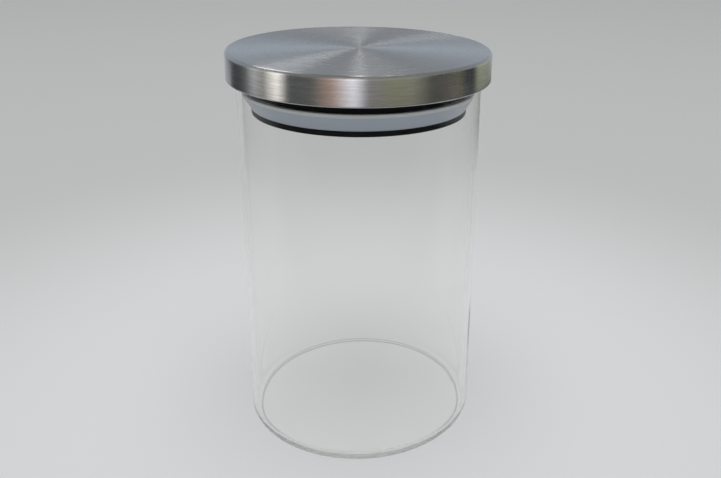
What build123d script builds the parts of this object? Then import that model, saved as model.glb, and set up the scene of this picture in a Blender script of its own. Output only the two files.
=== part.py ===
from build123d import *
import os

# A straight glass canister with a flat steel lid.
# The lid's black plastic plug drops into the mouth, and a silicone lip seals it against the glass.
# The origin is the centre of the foot, on the surface the canister stands on. Z points up.

# Driving dimensions, in millimetres
canister_height = 152.8  # from the foot to the top of the lid
lid_diameter = 100.0
glass_diameter = 92.8
glass_wall = 2.0
glass_floor = 2.4
glass_foot_radius = 3.5  # outer rounding where the wall meets the floor
glass_floor_radius = 2.0  # inner rounding where the wall meets the floor

steel_thickness = 0.6
lid_edge_radius = 1.4  # rounding of the lid's top edge
skirt_height = 10.6  # from the top of the lid to the bottom of its skirt
hem_reach = 1.8  # how far the hem is folded in under the skirt
hem_radius = 0.5

rim_cover = 4.0  # how far the glass rim goes up inside the skirt
seat_gap = 0.1  # between the glass rim and the plug's seat above it
rim_clearance = 0.5  # around the outside of the rim, inside the plug's channel
plug_diameter = 82.0
plug_depth = 12.3  # from the bottom of the skirt to the bottom of the plug
plug_top_thickness = 2.4
plug_wall = 5.0
plug_shoulder_radius = 1.0
joint_chamfer = 0.2  # on both edges of the joint line between the plug and its cover

seal_top_depth = 3.6  # from the bottom of the skirt to the top of the sealing lip
seal_bottom_depth = 10.2  # from the bottom of the skirt to the foot of the sealing lip
seal_clearance = 0.3  # between the relaxed lip and the glass
seal_land = 1.2  # height of the lip's upright edge
lip_thickness = 1.1
groove_depth = 2.4
sleeve_thickness = 1.6
sleeve_drop = 0.6  # how far the sleeve's top stays below the lip's top
lip_root_height = 1.9  # where the lip leaves the sleeve, above the seal's bottom

cover_thickness = 1.1
cover_edge_radius = 0.4
cover_recess_radius = 33.0
cover_recess_depth = 0.4
spigot_height = 3.0
spigot_thickness = 1.6

# Derived values
glass_radius = glass_diameter / 2
bore_radius = glass_radius - glass_wall
lid_radius = lid_diameter / 2
skirt_inner_radius = lid_radius - steel_thickness
skirt_bottom = canister_height - skirt_height
steel_underside = canister_height - steel_thickness
hem_top = skirt_bottom + steel_thickness

seat_height = skirt_bottom + rim_cover
rim_height = seat_height - seat_gap
rim_spring = rim_height - glass_wall / 2  # where the wall turns into the half-round rim
channel_radius = glass_radius + rim_clearance

plug_radius = plug_diameter / 2
plug_bottom = skirt_bottom - plug_depth
joint_height = plug_bottom + cover_thickness
hollow_radius = plug_radius - plug_wall
hollow_top = steel_underside - plug_top_thickness

seal_bottom = skirt_bottom - seal_bottom_depth
seal_top = skirt_bottom - seal_top_depth
groove_radius = plug_radius - groove_depth
sleeve_radius = groove_radius + sleeve_thickness
sleeve_top = seal_top - sleeve_drop
lip_radius = bore_radius - seal_clearance

spigot_top = joint_height + spigot_height
spigot_inner_radius = hollow_radius - spigot_thickness


# The jar: a drawn glass tube with a closed, flat floor and a fire-polished, half-round rim
with BuildPart() as glass_jar:
    with BuildSketch(Plane.XZ):
        with BuildLine():
            Polyline((0, glass_floor), (0, 0), (glass_radius, 0), (glass_radius, rim_spring))
            ThreePointArc(
                (glass_radius, rim_spring),
                (glass_radius - glass_wall / 2, rim_height),
                (bore_radius, rim_spring),
            )
            Polyline((bore_radius, rim_spring), (bore_radius, glass_floor), (0, glass_floor))
        make_face()
    revolve(axis=Axis.Z)
    round_edges = glass_jar.edges().filter_by(GeomType.CIRCLE).group_by(Axis.Z)
    fillet(round_edges[0], radius=glass_foot_radius)
    fillet(round_edges[1], radius=glass_floor_radius)

glass_jar.part.label = "glass_jar"


# The lid's steel shell: a flat top, a short upright skirt and a hem folded in under it
with BuildPart() as lid_cap:
    with BuildSketch(Plane.XZ):
        with BuildLine():
            Polyline(
                (0, canister_height),
                (lid_radius, canister_height),
                (lid_radius, skirt_bottom),
                (lid_radius - hem_reach, skirt_bottom),
                (lid_radius - hem_reach, hem_top),
                (skirt_inner_radius, hem_top),
                (skirt_inner_radius, steel_underside),
                (0, steel_underside),
                close=True,
            )
        make_face()
    revolve(axis=Axis.Z)
    cap_edges = lid_cap.edges().filter_by(GeomType.CIRCLE)
    top_edge = cap_edges.group_by(Axis.Z)[-1]
    under_edge = cap_edges.group_by(Axis.Z)[-2]
    hem_edge = cap_edges.group_by(Axis.Z)[0].sort_by(SortBy.RADIUS)[-1]
    fillet(top_edge, radius=lid_edge_radius)
    fillet(under_edge, radius=lid_edge_radius - steel_thickness)
    fillet(hem_edge, radius=hem_radius)

lid_cap.part.label = "lid_cap"


# The plug: a black moulding that fills the shell, takes the glass rim in a channel and goes down
# into the mouth. It is hollow from below, and a groove round it holds the seal.
with BuildPart() as lid_plug:
    with BuildSketch(Plane.XZ):
        with BuildLine():
            Polyline(
                (0, steel_underside),
                (skirt_inner_radius, steel_underside),
                (skirt_inner_radius, hem_top),
                (channel_radius, hem_top),
                (channel_radius, seat_height),
                (plug_radius, seat_height),
                (plug_radius, sleeve_top),
                (groove_radius, sleeve_top),
                (groove_radius, seal_bottom),
                (plug_radius, seal_bottom),
                (plug_radius, joint_height),
                (hollow_radius, joint_height),
                (hollow_radius, hollow_top),
                (0, hollow_top),
                close=True,
            )
        make_face()
    revolve(axis=Axis.Z)
    plug_edges = lid_plug.edges().filter_by(GeomType.CIRCLE)
    shoulder_edge = plug_edges.group_by(Axis.Z)[-1]
    joint_edge = plug_edges.group_by(Axis.Z)[0].sort_by(SortBy.RADIUS)[-1]
    fillet(shoulder_edge, radius=plug_shoulder_radius)
    chamfer(joint_edge, length=joint_chamfer)

lid_plug.part.label = "lid_plug"


# The seal: a silicone sleeve in the plug's groove, with a lip that flares up and out to the glass
with BuildPart() as lid_seal:
    with BuildSketch(Plane.XZ):
        with BuildLine():
            Polyline(
                (groove_radius, seal_bottom),
                (plug_radius, seal_bottom),
                (lip_radius, seal_top - seal_land),
                (lip_radius, seal_top),
                (lip_radius - lip_thickness, seal_top),
                (sleeve_radius, seal_bottom + lip_root_height),
                (sleeve_radius, sleeve_top),
                (groove_radius, sleeve_top),
                close=True,
            )
        make_face()
    revolve(axis=Axis.Z)

lid_seal.part.label = "lid_seal"


# The cover: a disc with a short spigot that closes the hollow plug from below
with BuildPart() as plug_cover:
    with BuildSketch(Plane.XZ):
        with BuildLine():
            Polyline(
                (0, plug_bottom + cover_recess_depth),
                (cover_recess_radius, plug_bottom + cover_recess_depth),
                (cover_recess_radius + cover_recess_depth, plug_bottom),
                (plug_radius, plug_bottom),
                (plug_radius, joint_height),
                (hollow_radius, joint_height),
                (hollow_radius, spigot_top),
                (spigot_inner_radius, spigot_top),
                (spigot_inner_radius, joint_height + cover_recess_depth),
                (0, joint_height + cover_recess_depth),
                close=True,
            )
        make_face()
    revolve(axis=Axis.Z)
    rim_edges = plug_cover.edges().filter_by(GeomType.CIRCLE).sort_by(SortBy.RADIUS)[-2:]
    fillet(rim_edges.sort_by(Axis.Z)[0], radius=cover_edge_radius)
    chamfer(rim_edges.sort_by(Axis.Z)[1], length=joint_chamfer)

plug_cover.part.label = "plug_cover"


os.makedirs("parts", exist_ok=True)
for piece in (glass_jar, lid_cap, lid_plug, lid_seal, plug_cover):
    export_step(piece.part, f"parts/{piece.part.label}.step")
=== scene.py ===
import math

import bmesh
import bpy
from mathutils import Matrix, Vector


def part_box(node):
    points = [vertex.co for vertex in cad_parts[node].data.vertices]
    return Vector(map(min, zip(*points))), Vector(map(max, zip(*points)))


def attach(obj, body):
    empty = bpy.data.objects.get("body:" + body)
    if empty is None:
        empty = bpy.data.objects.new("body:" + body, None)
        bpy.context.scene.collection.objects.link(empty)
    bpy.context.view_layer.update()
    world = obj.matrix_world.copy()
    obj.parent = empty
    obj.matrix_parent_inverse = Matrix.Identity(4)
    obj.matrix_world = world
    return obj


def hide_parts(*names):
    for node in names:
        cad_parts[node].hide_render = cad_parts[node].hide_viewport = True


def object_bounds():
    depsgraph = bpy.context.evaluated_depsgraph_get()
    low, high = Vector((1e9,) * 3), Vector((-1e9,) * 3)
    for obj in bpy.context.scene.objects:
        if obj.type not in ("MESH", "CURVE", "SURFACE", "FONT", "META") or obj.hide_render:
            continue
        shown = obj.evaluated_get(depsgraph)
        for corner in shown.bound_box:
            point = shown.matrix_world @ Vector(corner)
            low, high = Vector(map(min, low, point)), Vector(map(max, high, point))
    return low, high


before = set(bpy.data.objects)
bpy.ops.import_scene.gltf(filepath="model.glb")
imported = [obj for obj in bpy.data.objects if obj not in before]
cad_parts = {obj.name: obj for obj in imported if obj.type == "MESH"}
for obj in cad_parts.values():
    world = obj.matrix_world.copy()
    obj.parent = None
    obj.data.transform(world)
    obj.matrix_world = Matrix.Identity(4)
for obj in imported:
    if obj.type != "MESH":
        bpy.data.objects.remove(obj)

cadLow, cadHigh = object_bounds()
mm = 0.001
print("frame loaded:", ", ".join(sorted(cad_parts)))


def arcPoints(before, corner, after, rounding, steps):
    # the points of an arc that rounds one corner of an outline
    back, ahead = (before - corner).normalized(), (after - corner).normalized()
    half = back.angle(ahead) / 2
    reach = rounding / math.tan(half)
    centre = corner + (back + ahead).normalized() * (rounding / math.sin(half))
    start, end = corner + back * reach - centre, corner + ahead * reach - centre
    turn = start.angle_signed(end)
    return [centre + Matrix.Rotation(-turn * i / steps, 2) @ start for i in range(steps + 1)]


def smoothOutline(corners, closed, steps=12, hold=0.15 * mm):
    # corners are (radius, height) or (radius, height, rounding)
    # a point is added close to each end of a long straight run, so that it shades flat
    spots = [Vector(c[:2]) for c in corners]
    count = len(spots)
    points = []
    for i, corner in enumerate(corners):
        rounding = corner[2] if len(corner) > 2 else 0
        if rounding and (closed or 0 < i < count - 1):
            points += arcPoints(spots[i - 1], spots[i], spots[(i + 1) % count], rounding, steps)
        else:
            points.append(spots[i])
    outline = []
    for i, point in enumerate(points):
        outline.append(point)
        if i == len(points) - 1 and not closed:
            break
        run = points[(i + 1) % len(points)] - point
        if run.length > 4 * hold:
            outline += [point + run.normalized() * hold, point + run * (1 - hold / run.length)]
    return outline


def turned(name, outline, closed, around=288, sharpFrom=35):
    # revolves an outline about the canister's axis
    shape = bmesh.new()
    rings = []
    for radius, height in outline:
        if radius < 1e-7:
            rings.append([shape.verts.new((0, 0, height))])
            continue
        turns = [2 * math.pi * i / around for i in range(around)]
        ring = [(radius * math.cos(turn), radius * math.sin(turn), height) for turn in turns]
        rings.append([shape.verts.new(place) for place in ring])
    pairs = list(zip(rings, rings[1:])) + ([(rings[-1], rings[0])] if closed else [])
    for low, high in pairs:
        for i in range(around):
            j = (i + 1) % around
            corners = [low[i % len(low)], low[j % len(low)], high[j % len(high)], high[i % len(high)]]
            shape.faces.new(list(dict.fromkeys(corners)))
    bmesh.ops.recalc_face_normals(shape, faces=shape.faces)
    for face in shape.faces:
        face.smooth = True
    mesh = bpy.data.meshes.new(name)
    shape.to_mesh(mesh)
    shape.free()
    mesh.set_sharp_from_angle(angle=math.radians(sharpFrom))
    piece = bpy.data.objects.new(name, mesh)
    bpy.context.scene.collection.objects.link(piece)
    return piece


class Value:
    # wraps a socket, so that sums on it become Math nodes
    def __init__(self, finish, socket):
        self.finish, self.socket = finish, socket

    def maths(self, operation, *others, flipped=False):
        terms = [self, *others]
        if flipped:
            terms.reverse()
        return self.finish.add("ShaderNodeMath", {"operation": operation}, dict(enumerate(terms)))

    def __add__(self, other):
        return self.maths("ADD", other)

    def __sub__(self, other):
        return self.maths("SUBTRACT", other)

    def __rsub__(self, other):
        return self.maths("SUBTRACT", other, flipped=True)

    def __mul__(self, other):
        return self.maths("MULTIPLY", other)

    def __truediv__(self, other):
        return self.maths("DIVIDE", other)

    def __pow__(self, other):
        return self.maths("POWER", other)

    __radd__ = __add__
    __rmul__ = __mul__


class Finish:
    # the nodes of one material, or of the world
    def __init__(self, name, kind="materials"):
        self.owner = getattr(bpy.data, kind).new(name)
        self.owner.use_nodes = True
        self.tree = self.owner.node_tree
        self.tree.nodes.clear()

    def add(self, kind, settings=None, sockets=None, out=0):
        node = self.tree.nodes.new(kind)
        for key, value in (settings or {}).items():
            if key == "stops":
                ramp = node.color_ramp.elements
                for spot, (place, colour) in zip([ramp[0], ramp[1]], value[:2]):
                    spot.position, spot.color = place, colour
                for place, colour in value[2:]:
                    ramp.new(place).color = colour
            else:
                setattr(node, key, value)
        for key, value in (sockets or {}).items():
            if isinstance(value, Value):
                self.tree.links.new(value.socket, node.inputs[key])
            else:
                node.inputs[key].default_value = value
        return Value(self, node.outputs[out]) if len(node.outputs) else None

    def place(self):
        return self.add("ShaderNodeTexCoord", out="Object")

    def parts(self, vector):
        split = self.add("ShaderNodeSeparateXYZ", sockets={0: vector})
        outputs = split.socket.node.outputs
        return [Value(self, outputs[axis]) for axis in "XYZ"]

    def noise(self, vector, scale, detail=2.0, roughness=0.5):
        return self.add("ShaderNodeTexNoise", None, {
            "Vector": vector, "Scale": scale, "Detail": detail, "Roughness": roughness})

    def spread(self, value, low, high, lowest, highest):
        # maps low..high to lowest..highest
        return self.add("ShaderNodeMapRange", None, {
            "Value": value, "From Min": low, "From Max": high, "To Min": lowest, "To Max": highest})

    def tint(self, share, dark, light):
        return self.add("ShaderNodeMix", {"data_type": "RGBA"}, {"Factor": share, 6: dark, 7: light}, out=2)

    def bump(self, height, strength, distance):
        return self.add("ShaderNodeBump", None, {
            "Height": height, "Strength": strength, "Distance": distance})

    def finished(self, shader, output="ShaderNodeOutputMaterial"):
        self.add(output, None, {"Surface": shader})
        return self.owner

    def surface(self, sockets):
        return self.finished(self.add("ShaderNodeBsdfPrincipled", None, sockets))


def dress(piece, material, body, node):
    piece.data.materials.append(material)
    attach(piece, body)
    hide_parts(node)


jarLow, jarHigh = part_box("glass_jar")
jar = {
    "wall": 2.0 * mm,
    "floor": 2.4 * mm,
    "footRounding": 3.5 * mm,
    "floorRounding": 2.0 * mm,
    "tint": (0.992, 0.995, 0.987, 1),
    "corner": (0.36, 0.38, 0.37, 1),  # painted shade: a darker glass colour where the wall turns into the floor, standing in for the dark line that refraction makes there
    "shine": (0.55, 0.55, 0.55, 1),
    "bend": 1.46,
    "footWear": 0.12,  # how much rougher the foot is
}


def glassFinish():
    finish = Finish("clearGlass")
    place = finish.place()
    x, y, z = finish.parts(place)
    drawn = finish.add("ShaderNodeCombineXYZ", None, {0: x * 60, 1: y * 60, 2: z * 14})
    waves = finish.noise(drawn, 1.0, 1.0)
    smears = finish.noise(place, 38.0, 5.0, 0.62)
    # painted shade: a darker ring of glass colour at the inner corner of the floor, in place of the dark
    # line that refraction makes there
    cornerRadius = jarHigh.x - jar["wall"] - jar["floorRounding"] * 0.9
    near = ((x * x + y * y) ** 0.5 - cornerRadius).maths("ABSOLUTE")
    low = finish.spread(z, jar["floor"] * 0.6, jar["floor"] + jar["floorRounding"], 1, 0)
    corner = finish.spread(near, 0.1 * mm, 0.6 * mm, 1, 0) * low
    foot = finish.spread(z, 0.2 * mm, jar["footRounding"], 1, 0)
    return finish.surface({
        "Base Color": finish.tint(corner, jar["tint"], jar["corner"]),
        "Roughness": finish.spread(smears, 0.45, 0.8, 0.0, 0.03) + foot * jar["footWear"],
        "IOR": jar["bend"],
        "Specular Tint": jar["shine"],
        "Transmission Weight": 1.0,
        "Normal": finish.bump(waves, 0.25, 0.0004),
    })


def makeJar():
    radius, top = jarHigh.x, jarHigh.z
    bore = radius - jar["wall"]
    lip = jar["wall"] * 0.4995
    outline = smoothOutline([
        (0, 0), (radius, 0, jar["footRounding"]), (radius, top, lip),
        (bore, top, lip), (bore, jar["floor"], jar["floorRounding"]), (0, jar["floor"]),
    ], closed=False, steps=16)
    piece = turned("glassJar", outline, closed=False, around=320)
    piece.visible_diffuse = piece.visible_shadow = False  # clear glass shades nothing
    dress(piece, glassFinish(), "jar", "glass_jar")
    print("jar made")


capLow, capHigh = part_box("lid_cap")
cap = {
    "thickness": 0.6 * mm,
    "edgeRounding": 1.4 * mm,
    "hemRounding": 0.5 * mm,
    "hemReach": 1.8 * mm,
    "dark": (0.50, 0.50, 0.51, 1),
    "light": (0.66, 0.66, 0.665, 1),
    "roughness": 0.26,
    "brushing": 0.97,
    "linesPerMetre": 1900,
    "broadPerMetre": 420,
}


def steelFinish():
    finish = Finish("turnedSteel")
    place = finish.place()
    x, y, z = finish.parts(place)
    radius = (x * x + y * y) ** 0.5
    along = radius - z  # runs out over the top and on down the skirt
    ring = radius + 0.1 * mm  # never nothing, so that the centre is safe to divide by

    def lines(arc, perMetre, detail, roughness):
        # arc is how quickly the lines change round the lid
        spot = finish.add("ShaderNodeCombineXYZ", None, {
            0: x / ring * arc, 1: y / ring * arc, 2: along * perMetre})
        return finish.noise(spot, 1.0, detail, roughness)

    fine = lines(5.0, cap["linesPerMetre"], 3.0, 0.65)
    broad = lines(1.6, cap["broadPerMetre"], 2.0, 0.5)
    handled = finish.noise(place, 45.0, 4.0, 0.6)
    shade = fine * 0.8 + broad * 0.2
    return finish.surface({
        "Base Color": finish.tint(finish.spread(shade, 0.3, 0.7, 0, 1), cap["dark"], cap["light"]),
        "Metallic": 1.0,
        "Roughness": cap["roughness"] + (shade - 0.5) * 0.1 + (handled - 0.5) * 0.03,
        "Anisotropic": cap["brushing"],
        "Anisotropic Rotation": 0.25,
        "Normal": finish.bump(fine, 0.15, 0.00002),
    })


def makeCap():
    radius, top, bottom = capHigh.x, capHigh.z, capLow.z
    steel = cap["thickness"]
    hemRadius, inner = radius - cap["hemReach"], radius - steel
    outline = smoothOutline([
        (0, top), (radius, top, cap["edgeRounding"]), (radius, bottom, cap["hemRounding"]),
        (hemRadius, bottom, steel * 0.45), (hemRadius, bottom + steel, steel * 0.45),
        (inner, bottom + steel), (inner, top - steel, cap["edgeRounding"] - steel), (0, top - steel),
    ], closed=False)
    piece = turned("lidCap", outline, closed=False, around=320)
    dress(piece, steelFinish(), "lid", "lid_cap")
    print("lid shell made")


plugLow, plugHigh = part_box("lid_plug")
coverLow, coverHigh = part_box("plug_cover")
sealLow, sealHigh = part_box("lid_seal")
plug = {
    "radius": 41.0 * mm,
    "hollowRadius": 36.0 * mm,
    "rimClearance": 0.5 * mm,
    "rimCover": 4.0 * mm,
    "shoulder": 1.0 * mm,
    "coverEdge": 0.4 * mm,
    "topThickness": 2.4 * mm,
    "grooveRadius": 38.6 * mm,
    "coverThickness": 1.1 * mm,
    "recessRadius": 33.0 * mm,
    "recessDepth": 0.4 * mm,
    "spigotWall": 1.6 * mm,
    "colour": (0.004, 0.004, 0.005, 1),
    "worn": (0.009, 0.009, 0.011, 1),
}


def plasticFinish():
    finish = Finish("blackPlastic")
    place = finish.place()
    grain = finish.noise(place, 2600.0, 2.0, 0.6)
    cloudy = finish.noise(place, 60.0, 3.0, 0.6)
    return finish.surface({
        "Base Color": finish.tint(cloudy, plug["colour"], plug["worn"]),
        "Roughness": 0.42 + (cloudy - 0.5) * 0.2,
        "Specular IOR Level": 0.12,
        "Normal": finish.bump(grain, 0.2, 0.00004),
    })


def makePlug(material):
    top, outer, joint = plugHigh.z, plugHigh.x, plugLow.z
    radius, groove, soft = plug["radius"], plug["grooveRadius"], 0.2 * mm
    channel, seat = jarHigh.x + plug["rimClearance"], capLow.z + plug["rimCover"]
    mouth = capLow.z + cap["thickness"]
    sealFoot, sleeveTop = sealLow.z, sealHigh.z - seal["sleeveDrop"]
    outline = smoothOutline([
        (0, top), (outer, top, plug["shoulder"]), (outer, mouth, soft),
        (channel, mouth, soft), (channel, seat, soft),
        (radius, seat, soft), (radius, sleeveTop, soft), (groove, sleeveTop),
        (groove, sealFoot), (radius, sealFoot, soft), (radius, joint, soft),
        (plug["hollowRadius"], joint), (plug["hollowRadius"], top - plug["topThickness"], soft),
        (0, top - plug["topThickness"]),
    ], closed=False, steps=5)
    piece = turned("lidPlug", outline, closed=False)
    dress(piece, material, "lid", "lid_plug")


def makeCover(material):
    low, high = coverLow.z, coverHigh.z
    radius, joint, soft = plug["radius"], coverLow.z + plug["coverThickness"], 0.2 * mm
    inner = plug["hollowRadius"] - plug["spigotWall"]
    outline = smoothOutline([
        (0, low + plug["recessDepth"]), (plug["recessRadius"], low + plug["recessDepth"], soft),
        (plug["recessRadius"] + plug["recessDepth"], low, soft),
        (radius, low, plug["coverEdge"]), (radius, joint, soft),
        (plug["hollowRadius"], joint), (plug["hollowRadius"], high, soft), (inner, high, soft),
        (inner, joint + plug["recessDepth"]), (0, joint + plug["recessDepth"]),
    ], closed=False, steps=5)
    piece = turned("plugCover", outline, closed=False)
    dress(piece, material, "lid", "plug_cover")


seal = {
    "lipThickness": 1.1 * mm,
    "land": 1.2 * mm,
    "sleeveDrop": 0.6 * mm,
    "sleeveThickness": 1.6 * mm,
    "rootHeight": 1.9 * mm,
    "softness": 0.3 * mm,
    "colour": (0.50, 0.56, 0.64, 1),
    "cloud": (0.58, 0.63, 0.70, 1),
    "paintedLipHighlight": (0.86, 0.88, 0.90, 1),  # painted highlight: a pale colour on the upright edge of the lip, for the bright line that shows there
}


def siliconeFinish():
    finish = Finish("clearSilicone")
    place = finish.place()
    x, y, z = finish.parts(place)
    cloudy = finish.noise(place, 90.0, 4.0, 0.6)
    # painted highlight: the pale band up the upright edge of the lip
    landFoot = sealHigh.z - seal["land"]
    edge = finish.spread(z, landFoot - seal["softness"], landFoot + seal["softness"], 0, 1)
    return finish.surface({
        "Base Color": finish.tint(edge, finish.tint(cloudy, seal["colour"], seal["cloud"]), seal["paintedLipHighlight"]),
        "Roughness": 0.36 + (cloudy - 0.5) * 0.2,
        "IOR": 1.41,
        "Transmission Weight": 0.3,
        "Subsurface Weight": 0.6,
        "Subsurface Radius": (1.0, 1.0, 1.0),
        "Subsurface Scale": 0.002,
        "Normal": finish.bump(cloudy, 0.1, 0.0002),
    })


def makeSeal():
    low, high, lip = sealLow.z, sealHigh.z, sealHigh.x
    soft = seal["softness"]
    outline = smoothOutline([
        (plug["grooveRadius"], low, 0.05 * mm), (plug["radius"], low, soft),
        (lip, high - seal["land"], soft), (lip, high, soft),
        (lip - seal["lipThickness"], high, soft),
        (plug["grooveRadius"] + seal["sleeveThickness"], low + seal["rootHeight"], soft),
        (plug["grooveRadius"] + seal["sleeveThickness"], high - seal["sleeveDrop"], soft),
        (plug["grooveRadius"], high - seal["sleeveDrop"], 0.05 * mm),
    ], closed=True, steps=6)
    piece = turned("lidSeal", outline, closed=True)
    dress(piece, siliconeFinish(), "lid", "lid_seal")
    print("plug, cover and seal made")


studio = {
    "floorRadius": 6.0,
    "floorGap": 0.1 * mm,
    # painted light: the floor near the canister is painted brighter than farther out, a pool of light
    "paintedLitFloor": (0.785, 0.785, 0.80, 1),
    "farFloor": (0.57, 0.585, 0.58, 1),
    "paintedDarkReflection": (0.06, 0.06, 0.06, 1),  # painted reflection: the floor in front is painted this dark only where reflections see it, to darken what the glass and plug mirror
    "air": (0.66, 0.665, 0.665, 1),  # the light that falls on everything
    "horizon": (0.48, 0.48, 0.46, 1),  # the edge of the room is darker, where the glass shows it
    "lowShine": (0.40, 0.45, 0.51, 1),  # what shiny things mirror of the room near the horizon
    "highShine": (0.25, 0.25, 0.24, 1),  # and of the ceiling
    "bandRadius": 0.2,
}

# two bands of card round the canister, for bright and dark stripes in the steel: only reflections show them
# each stop is an angle in degrees, 0 in front and 90 at the right, and how bright the card is there
skirtBand = {
    "low": 0.106,
    "high": 0.158,
    "rise": 0.06,  # how much higher the band stands in front
    "stops": [
        (-180, (0.52, 0.55, 0.57)), (-145, (0.56, 0.59, 0.61)), (-116, (0.03, 0.03, 0.03)),
        (-104, (0.05, 0.05, 0.05)), (-96, (0.14, 0.15, 0.15)), (-85, (0.86, 0.88, 0.86)),
        (-75, (0.46, 0.45, 0.38)), (-62, (2.55, 2.45, 2.25)), (-53, (0.10, 0.11, 0.11)),
        (-34, (0.18, 0.19, 0.16)), (-19, (0.90, 0.62, 0.50)), (-4, (2.10, 2.10, 2.20)),
        (6, (0.46, 0.43, 0.42)), (25, (0.46, 0.47, 0.29)), (38, (0.46, 0.46, 0.33)),
        (55, (0.08, 0.08, 0.06)), (69, (0.10, 0.08, 0.05)), (80, (0.16, 0.15, 0.07)),
        (90, (0.01, 0.01, 0.01)), (99, (0.01, 0.01, 0.01)), (106, (0.56, 0.58, 0.38)),
        (130, (0.42, 0.44, 0.37)), (158, (0.46, 0.48, 0.47)), (180, (0.52, 0.55, 0.57)),
    ],
}
darkBand = {
    "low": 0.042,
    "high": 0.106,
    "rise": 0.0,
    "fade": 0.035,  # the band thins out to nothing over this height, from its lower edge
    "from": -125,
    "to": 148,
    "stops": [(-180, (0.03, 0.03, 0.03)), (180, (0.03, 0.03, 0.03))],
}

camera = {
    "distance": 0.3074,
    "height": 0.2101,
    "turn": 4.31,
    "tilt": -20.04,
    "roll": -1.295,
    "lens": 40.79,
    "shiftX": -0.0795,
    "shiftY": -0.0753,
}


def makeFloor():
    finish = Finish("paleFloor")
    x, y, z = finish.parts(finish.place())
    radius = (x * x + y * y) ** 0.5
    # painted light: the floor is brighter near the canister and fades to its own colour by 0.36 m
    paintedLightFade = finish.add("ShaderNodeMapRange", {"interpolation_type": "SMOOTHSTEP"}, {
        "Value": radius, "From Min": 0.07, "From Max": 0.36})
    speckle = finish.noise(finish.place(), 5.0, 2.0)
    shade = finish.tint(paintedLightFade + (speckle - 0.5) * 0.05, studio["paintedLitFloor"], studio["farFloor"])
    # painted reflection: rays that come from a reflection see the floor in front near black
    mirrored = finish.add("ShaderNodeLightPath", out="Glossy Depth").maths("MINIMUM", 1)
    front = finish.spread(radius, 0.07, 0.22, 0, 1) * finish.spread(y, -0.14, -0.04, 1, 0)
    material = finish.surface({
        "Base Color": finish.tint(mirrored * front, shade, studio["paintedDarkReflection"]),
        "Roughness": 0.8,
        "Specular IOR Level": 0.2,
    })
    rim = (studio["floorRadius"], 0)
    floor = turned("floor", [(0, 0), (0.3, 0), (1.2, 0), rim], closed=False, around=96)
    floor.location.z = cadLow.z - studio["floorGap"]
    floor.data.materials.append(material)


def makeAir():
    air = Finish("studioAir", "worlds")
    x, y, z = air.parts(air.add("ShaderNodeTexCoord", out="Generated"))
    shine = air.tint(air.spread(z, 0.1, 0.75, 0, 1), studio["lowShine"], studio["highShine"])
    glossy = air.add("ShaderNodeLightPath", out="Is Glossy Ray")
    mirrored = glossy * air.add("ShaderNodeLightPath", out="Is Reflection Ray")
    bent = air.tint(air.spread(z, 0.05, 0.6, 0, 1), studio["horizon"], studio["air"])
    seen = air.tint(air.add("ShaderNodeLightPath", out="Is Transmission Ray"), studio["air"], bent)
    light = air.add("ShaderNodeBackground", None, {"Color": air.tint(mirrored, seen, shine)})
    bpy.context.scene.world = air.finished(light, "ShaderNodeOutputWorld")


def makeBand(name, band):
    start, end = band.get("from", -180), band.get("to", 180)
    shape = bmesh.new()
    rows = []
    steps = round((end - start) / 3)
    for i in range(steps + 1):
        angle = math.radians(start + (end - start) * i / steps)
        x, y = studio["bandRadius"] * math.sin(angle), -studio["bandRadius"] * math.cos(angle)
        high = band["high"] + band["rise"] * min(1, max(0, 1.5 * math.cos(angle) + 0.5))
        rows.append([shape.verts.new((x, y, height)) for height in (band["low"], high)])
    for (a, b), (c, d) in zip(rows, rows[1:]):
        shape.faces.new((a, c, d, b))
    mesh = bpy.data.meshes.new(name)
    shape.to_mesh(mesh)
    shape.free()
    card = bpy.data.objects.new(name, mesh)
    bpy.context.scene.collection.objects.link(card)
    finish = Finish(name)
    x, y, z = finish.parts(finish.place())
    turn = x.maths("ARCTAN2", y * -1) / (2 * math.pi) + 0.5
    stops = [((angle + 180) / 360, (*colour, 1)) for angle, colour in band["stops"]]
    tone = finish.add("ShaderNodeValToRGB", {"stops": [stops[0], stops[-1], *stops[1:-1]]}, {0: turn})
    glow = finish.add("ShaderNodeEmission", None, {"Color": tone})
    if "fade" in band:
        clear = finish.add("ShaderNodeBsdfTransparent")
        solid = finish.spread(z, band["low"], band["low"] + band["fade"], 0, 1)
        glow = finish.add("ShaderNodeMixShader", None, {0: solid, 1: clear, 2: glow})
    material = finish.finished(glow)
    material.cycles.emission_sampling = "NONE"
    mesh.materials.append(material)
    card.visible_camera = card.visible_diffuse = card.visible_transmission = card.visible_shadow = False


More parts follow.
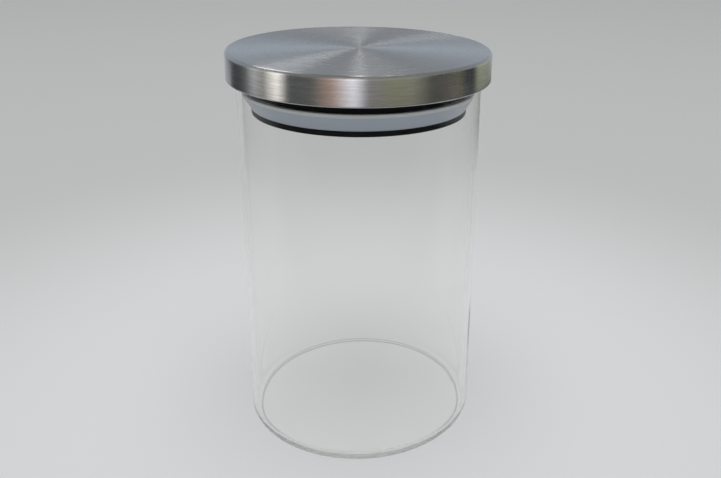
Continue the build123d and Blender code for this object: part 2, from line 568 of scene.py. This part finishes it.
def makeLamp(name, azimuth, elevation, distance, width, height, power, colour=(1, 1, 1), shine=False):
    # azimuth 0 stands before the canister, 90 at its right
    # a shine lamp shows only in reflections, and any other lamp only lights
    a, e = math.radians(azimuth), math.radians(elevation)
    aim = Vector((0, 0, cadHigh.z))
    back = Vector((math.sin(a) * math.cos(e), -math.cos(a) * math.cos(e), math.sin(e)))
    light = bpy.data.lights.new(name, "AREA")
    light.shape, light.size, light.size_y = "RECTANGLE", width, height
    light.energy, light.color = power, colour
    lamp = bpy.data.objects.new(name, light)
    bpy.context.scene.collection.objects.link(lamp)
    lamp.location = aim + back * distance
    lamp.rotation_mode = "QUATERNION"
    lamp.rotation_quaternion = back.to_track_quat("Z", "Y")
    lamp.visible_camera = False
    lamp.visible_diffuse = lamp.visible_transmission = not shine
    lamp.visible_glossy = shine
    return lamp


def makeCamera():
    lens = bpy.data.cameras.new("viewpoint")
    lens.lens, lens.sensor_width = camera["lens"], 36.0
    lens.shift_x, lens.shift_y = camera["shiftX"], camera["shiftY"]
    lens.clip_start, lens.clip_end = 0.01, 50
    eye = bpy.data.objects.new("viewpoint", lens)
    bpy.context.scene.collection.objects.link(eye)
    turn, tilt, roll = (math.radians(camera[key]) for key in ("turn", "tilt", "roll"))
    eye.matrix_world = (
        Matrix.Translation((0, -camera["distance"], camera["height"]))
        @ Matrix.Rotation(-turn, 4, "Z")
        @ Matrix.Rotation(math.pi / 2 + tilt, 4, "X")
        @ Matrix.Rotation(-roll, 4, "Z")
    )
    bpy.context.scene.camera = eye


makeJar()
makeCap()
black = plasticFinish()
makePlug(black)
makeCover(black)
makeSeal()
makeFloor()
makeAir()
makeBand("skirtBand", skirtBand)
makeBand("darkBand", darkBand)
makeLamp("ceilingLamp", 0, 85, 1.6, 1.2, 1.2, 8)
makeLamp("stripLight", 180, 60, 1.5, 0.06, 0.7, 0.5, shine=True)
makeLamp("sideStrip", 165, 60, 1.5, 0.22, 0.5, 0.35, (1, 1, 0.94), shine=True)
makeLamp("leftWindow", -150, 44.5, 1.5, 0.36, 0.4, 1.4, (1, 0.99, 0.97), shine=True)
makeCamera()
bpy.context.scene.view_settings.view_transform = "Standard"
for limit in ("max_bounces", "transmission_bounces", "glossy_bounces"):
    setattr(bpy.context.scene.cycles, limit, 32)  # light goes a long way round inside the glass
print("studio made")
